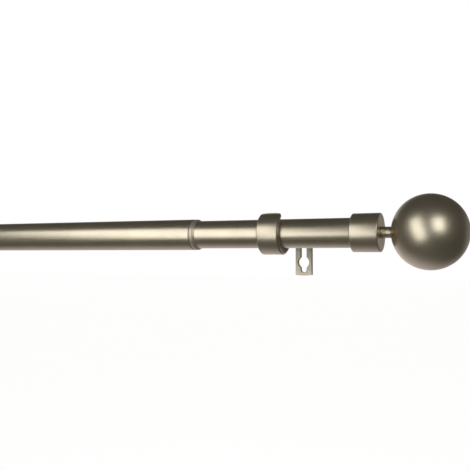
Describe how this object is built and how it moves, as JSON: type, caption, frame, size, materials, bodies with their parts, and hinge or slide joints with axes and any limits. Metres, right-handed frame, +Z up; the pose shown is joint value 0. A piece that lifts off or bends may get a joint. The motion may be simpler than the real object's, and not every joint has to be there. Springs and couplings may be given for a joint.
{
  "type": "curtain rod with brackets",
  "caption": "Telescopic curtain rod in satin nickel with open cup wall brackets and round ball finials on short necks.",
  "frame": {"origin": "on the wall plane behind the left bracket, on its plate's centre line, at the height of the rod's axis", "axes": "+X along the rod from the thick outer tube towards the thin inner tube, +Y into the wall, +Z up"},
  "size_m": [0.9723, 0.1133, 0.0688],
  "materials": {
    "grey_plastic": "moulded grey plastic",
    "satin_nickel_tube": "satin nickel plated steel tube, fine lengthwise brushing",
    "satin_nickel_bracket": "satin nickel plated zinc casting",
    "satin_nickel_finial": "satin nickel, finely turned",
    "zinc_steel": "bright zinc plated",
    "black_steel": "black oxide",
    "natural_nylon": "natural nylon",
    "black_plastic": "moulded black plastic",
    "clear_grey_plastic": "translucent smoky plastic"
  },
  "bodies": {
    "left_bracket": {"left_wall_plate": "satin_nickel_bracket", "left_arm": "satin_nickel_bracket", "left_cup": "satin_nickel_bracket", "left_cup_screw": "zinc_steel", "left_liner": "grey_plastic"},
    "left_grub_tip": {"left_grub_tip": "natural_nylon"},
    "left_grub_screw": {"left_grub_screw": "black_steel"},
    "outer_pole": {"outer_tube": "satin_nickel_tube", "mouth_ring": "clear_grey_plastic"},
    "tail_guide": {"tail_guide": "black_plastic"},
    "inner_pole": {"inner_tube": "satin_nickel_tube"},
    "right_bracket": {"right_wall_plate": "satin_nickel_bracket", "right_arm": "satin_nickel_bracket", "right_cup": "satin_nickel_bracket", "right_cup_screw": "zinc_steel", "right_liner": "grey_plastic"},
    "right_grub_tip": {"right_grub_tip": "natural_nylon"},
    "right_grub_screw": {"right_grub_screw": "black_steel"},
    "left_end_cap": {"left_cap": "satin_nickel_finial", "left_cap_insert": "black_plastic", "left_neck": "satin_nickel_finial", "left_stud": "zinc_steel", "left_stud_nut": "zinc_steel"},
    "left_ball_boss": {"left_ball_boss": "zinc_steel"},
    "left_ball": {"left_ball": "satin_nickel_finial"},
    "right_end_cap": {"right_cap": "satin_nickel_finial", "right_cap_insert": "black_plastic", "right_neck": "satin_nickel_finial", "right_stud": "zinc_steel", "right_stud_nut": "zinc_steel"},
    "right_ball_boss": {"right_ball_boss": "zinc_steel"},
    "right_ball": {"right_ball": "satin_nickel_finial"}
  },
  "joints": [
    {"name": "pole_slide", "type": "slide", "parent": "left_bracket", "child": "outer_pole", "axis": [1, 0, 0], "range_m": [-0.5, 0.065]},
    {"name": "telescope", "type": "slide", "parent": "outer_pole", "child": "tail_guide", "axis": [1, 0, 0], "range_m": [-0.04, 0.37]},
    {"name": "inner_twist", "type": "hinge", "parent": "tail_guide", "child": "inner_pole", "pos_m": [0.5607, -0.083, 0], "axis": [1, 0, 0], "continuous": true},
    {"name": "right_bracket_slide", "type": "slide", "parent": "inner_pole", "child": "right_bracket", "axis": [1, 0, 0], "range_m": [-0.02, 0.059]},
    {"name": "left_cap_pull", "type": "slide", "parent": "outer_pole", "child": "left_end_cap", "axis": [-1, 0, 0], "range_m": [0, 0.03]},
    {"name": "left_ball_advance", "type": "slide", "parent": "left_end_cap", "child": "left_ball_boss", "axis": [-1, 0, 0], "range_m": [0, 0.012]},
    {"name": "left_ball_turn", "type": "hinge", "parent": "left_ball_boss", "child": "left_ball", "pos_m": [-0.08, -0.083, 0], "axis": [-1, 0, 0], "range_deg": [0, 4320]},
    {"name": "right_cap_pull", "type": "slide", "parent": "inner_pole", "child": "right_end_cap", "axis": [1, 0, 0], "range_m": [0, 0.03]},
    {"name": "right_ball_advance", "type": "slide", "parent": "right_end_cap", "child": "right_ball_boss", "axis": [1, 0, 0], "range_m": [0, 0.012]},
    {"name": "right_ball_turn", "type": "hinge", "parent": "right_ball_boss", "child": "right_ball", "pos_m": [0.7085, -0.083, 0], "axis": [1, 0, 0], "range_deg": [0, 4320]},
    {"name": "left_grub_advance", "type": "slide", "parent": "left_bracket", "child": "left_grub_tip", "axis": [0, 0, -1], "range_m": [0, 0.0032]},
    {"name": "left_grub_turn", "type": "hinge", "parent": "left_grub_tip", "child": "left_grub_screw", "pos_m": [0, -0.083, 0], "axis": [0, 0, -1], "range_deg": [0, 1440]},
    {"name": "right_grub_advance", "type": "slide", "parent": "right_bracket", "child": "right_grub_tip", "axis": [0, 0, -1], "range_m": [0, 0.0032]},
    {"name": "right_grub_turn", "type": "hinge", "parent": "right_grub_tip", "child": "right_grub_screw", "pos_m": [0.6382, -0.083, 0], "axis": [0, 0, -1], "range_deg": [0, 1440]}
  ],
  "couplings": [
    {"joint": "left_ball_advance", "follows": "left_ball_turn", "m_per_rad": 0.00015915},
    {"joint": "left_grub_turn", "follows": "left_grub_advance", "rad_per_m": 7854},
    {"joint": "right_ball_advance", "follows": "right_ball_turn", "m_per_rad": 0.00015915},
    {"joint": "right_grub_turn", "follows": "right_grub_advance", "rad_per_m": 7854}
  ]
}
